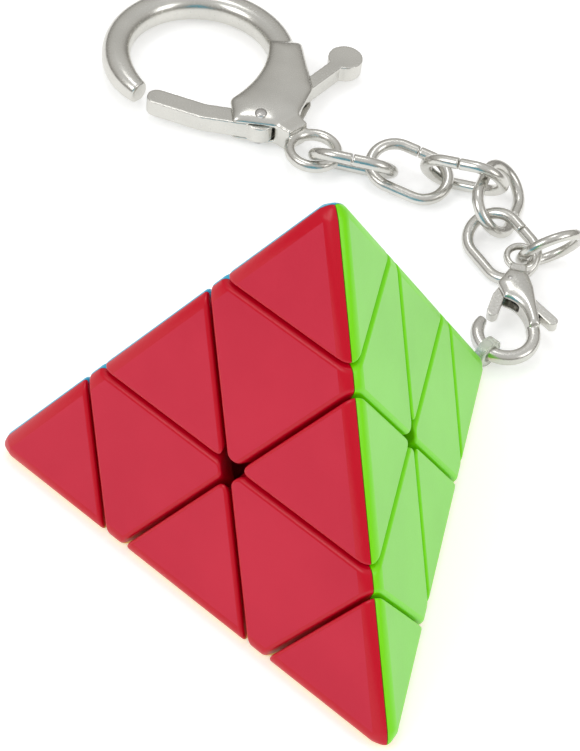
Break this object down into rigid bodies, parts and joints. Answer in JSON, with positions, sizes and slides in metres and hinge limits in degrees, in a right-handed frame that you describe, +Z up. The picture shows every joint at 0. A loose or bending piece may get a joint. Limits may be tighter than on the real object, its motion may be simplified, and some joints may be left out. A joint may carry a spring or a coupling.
{
  "type": "pyramid twisty puzzle",
  "caption": "Small four-sided pyramid twisty puzzle in plain coloured plastic, with turning tips and layers, on a short oval-link key chain with lobster clasps.",
  "frame": {"origin": "under the middle of the whole object's box, on the surface that it lies on", "axes": "+Z up through the top vertex a, +Y from the front edge of the puzzle towards the chain, +X to the right when seen from the front"},
  "size_m": [0.0508, 0.0858, 0.0366],
  "materials": {
    "yellow_plastic": "self-coloured moulded plastic, fine satin facets with glossier grooves",
    "green_plastic": "self-coloured moulded plastic, fine satin facets with glossier grooves",
    "blue_plastic": "self-coloured moulded plastic, fine satin facets with glossier grooves",
    "red_plastic": "self-coloured moulded plastic, fine satin facets with glossier grooves",
    "core_plastic": "plain moulded plastic",
    "eyelet_plastic": "clear, slightly milky moulded plastic",
    "nickel": "polished nickel plating",
    "steel": "bright drawn wire and turned steel"
  },
  "bodies": {
    "core_frame": {"core": "core_plastic", "core_screw_a": "steel", "core_screw_b": "steel", "core_screw_c": "steel", "core_screw_d": "steel", "core_spring_a": "steel", "core_spring_b": "steel", "core_spring_c": "steel", "core_spring_d": "steel", "centre_b_yellow_shell": "yellow_plastic", "centre_b_blue_shell": "blue_plastic", "centre_b_red_shell": "red_plastic", "centre_c_yellow_shell": "yellow_plastic", "centre_c_green_shell": "green_plastic", "centre_c_red_shell": "red_plastic", "centre_d_yellow_shell": "yellow_plastic", "centre_d_green_shell": "green_plastic", "centre_d_blue_shell": "blue_plastic", "edge_bc_yellow_half": "yellow_plastic", "edge_bc_red_half": "red_plastic", "edge_bd_yellow_half": "yellow_plastic", "edge_bd_blue_half": "blue_plastic", "edge_cd_yellow_half": "yellow_plastic", "edge_cd_green_half": "green_plastic"},
    "layer_a": {"centre_a_green_shell": "green_plastic", "centre_a_blue_shell": "blue_plastic", "centre_a_red_shell": "red_plastic", "edge_ab_blue_half": "blue_plastic", "edge_ab_red_half": "red_plastic", "edge_ac_green_half": "green_plastic", "edge_ac_red_half": "red_plastic", "edge_ad_green_half": "green_plastic", "edge_ad_blue_half": "blue_plastic"},
    "tip_a": {"tip_a_green_shell": "green_plastic", "tip_a_blue_shell": "blue_plastic", "tip_a_red_shell": "red_plastic"},
    "tip_b": {"tip_b_yellow_shell": "yellow_plastic", "tip_b_blue_shell": "blue_plastic", "tip_b_red_shell": "red_plastic"},
    "tip_c": {"tip_c_yellow_shell": "yellow_plastic", "tip_c_green_shell": "green_plastic", "tip_c_red_shell": "red_plastic"},
    "tip_d": {"tip_d_yellow_shell": "yellow_plastic", "tip_d_green_shell": "green_plastic", "tip_d_blue_shell": "blue_plastic", "eyelet": "eyelet_plastic"},
    "small_clasp": {"small_clasp_body": "nickel", "small_clasp_rivet": "steel", "small_clasp_spring": "steel"},
    "small_gate": {"small_clasp_gate": "nickel"},
    "jump_ring": {"jump_ring": "nickel"},
    "link_5": {"chain_link_5": "nickel"},
    "link_4": {"chain_link_4": "nickel"},
    "link_3": {"chain_link_3": "nickel"},
    "link_2": {"chain_link_2": "nickel"},
    "link_1": {"chain_link_1": "nickel"},
    "big_clasp": {"big_clasp_body": "nickel", "big_clasp_rivet": "steel", "big_clasp_spring": "steel"},
    "big_gate": {"big_clasp_gate": "nickel"}
  },
  "joints": [
    {"name": "layer_a_turn", "type": "hinge", "parent": "core_frame", "child": "layer_a", "pos_m": [0.0055, -0.021, 0.0098], "axis": [0, 0, 1], "continuous": true},
    {"name": "tip_a_turn", "type": "hinge", "parent": "layer_a", "child": "tip_a", "pos_m": [0.0055, -0.021, 0.0098], "axis": [0, 0, 1], "continuous": true},
    {"name": "tip_b_turn", "type": "hinge", "parent": "core_frame", "child": "tip_b", "pos_m": [0.0055, -0.021, 0.0098], "axis": [-0.9428, 0, -0.3333], "continuous": true},
    {"name": "tip_c_turn", "type": "hinge", "parent": "core_frame", "child": "tip_c", "pos_m": [0.0055, -0.021, 0.0098], "axis": [0.4714, -0.8165, -0.3333], "continuous": true},
    {"name": "tip_d_turn", "type": "hinge", "parent": "core_frame", "child": "tip_d", "pos_m": [0.0055, -0.021, 0.0098], "axis": [0.4714, 0.8165, -0.3333], "continuous": true},
    {"name": "small_clasp_swing", "type": "hinge", "parent": "tip_d", "child": "small_clasp", "pos_m": [0.01883, 0.00208, 0.0015], "axis": [0.866, -0.5, 0], "range_deg": [-5, 80]},
    {"name": "small_gate_pivot", "type": "hinge", "parent": "small_clasp", "child": "small_gate", "pos_m": [0.01949, 0.00996, 0.00263], "axis": [0.0034, -0.137, 0.9906], "range_deg": [0, 18], "stiffness_Nm_per_rad": 0.002, "springref_deg": -17.19},
    {"name": "jump_ring_swing", "type": "hinge", "parent": "small_clasp", "child": "jump_ring", "pos_m": [0.02031, 0.01476, 0.00329], "axis": [-0.9479, 0.3152, 0.0469], "range_deg": [-25, 5]},
    {"name": "link_5_swing", "type": "hinge", "parent": "jump_ring", "child": "link_5", "pos_m": [0.01994, 0.01419, 0.00216], "axis": [-0.083, -0.5577, 0.8259], "range_deg": [-45, 5]},
    {"name": "link_4_swing", "type": "hinge", "parent": "link_5", "child": "link_4", "pos_m": [0.01546, 0.01894, 0.00216], "axis": [0.7606, 0.4883, 0.4278], "range_deg": [-45, 20]},
    {"name": "link_3_swing", "type": "hinge", "parent": "link_4", "child": "link_3", "pos_m": [0.01481, 0.02191, 0.00415], "axis": [0.116, 0.9931, -0.016], "range_deg": [-45, 20]},
    {"name": "link_2_swing", "type": "hinge", "parent": "link_3", "child": "link_2", "pos_m": [0.01042, 0.02442, 0.00087], "axis": [-0.8956, -0.123, 0.4276], "range_deg": [-35, 20]},
    {"name": "link_1_swing", "type": "hinge", "parent": "link_2", "child": "link_1", "pos_m": [0.00371, 0.02324, 0.00196], "axis": [-0.148, 0.9494, 0.277], "range_deg": [-45, 30]},
    {"name": "big_clasp_swing", "type": "hinge", "parent": "link_1", "child": "big_clasp", "pos_m": [-0.0017, 0.02183, 0.00277], "axis": [0.1161, -0.6382, 0.761], "range_deg": [-4, 45]},
    {"name": "big_gate_pivot", "type": "hinge", "parent": "big_clasp", "child": "big_gate", "pos_m": [-0.00775, 0.02509, 0.00195], "axis": [0, 0, -1], "range_deg": [0, 18], "stiffness_Nm_per_rad": 0.02, "springref_deg": -17.19}
  ]
}
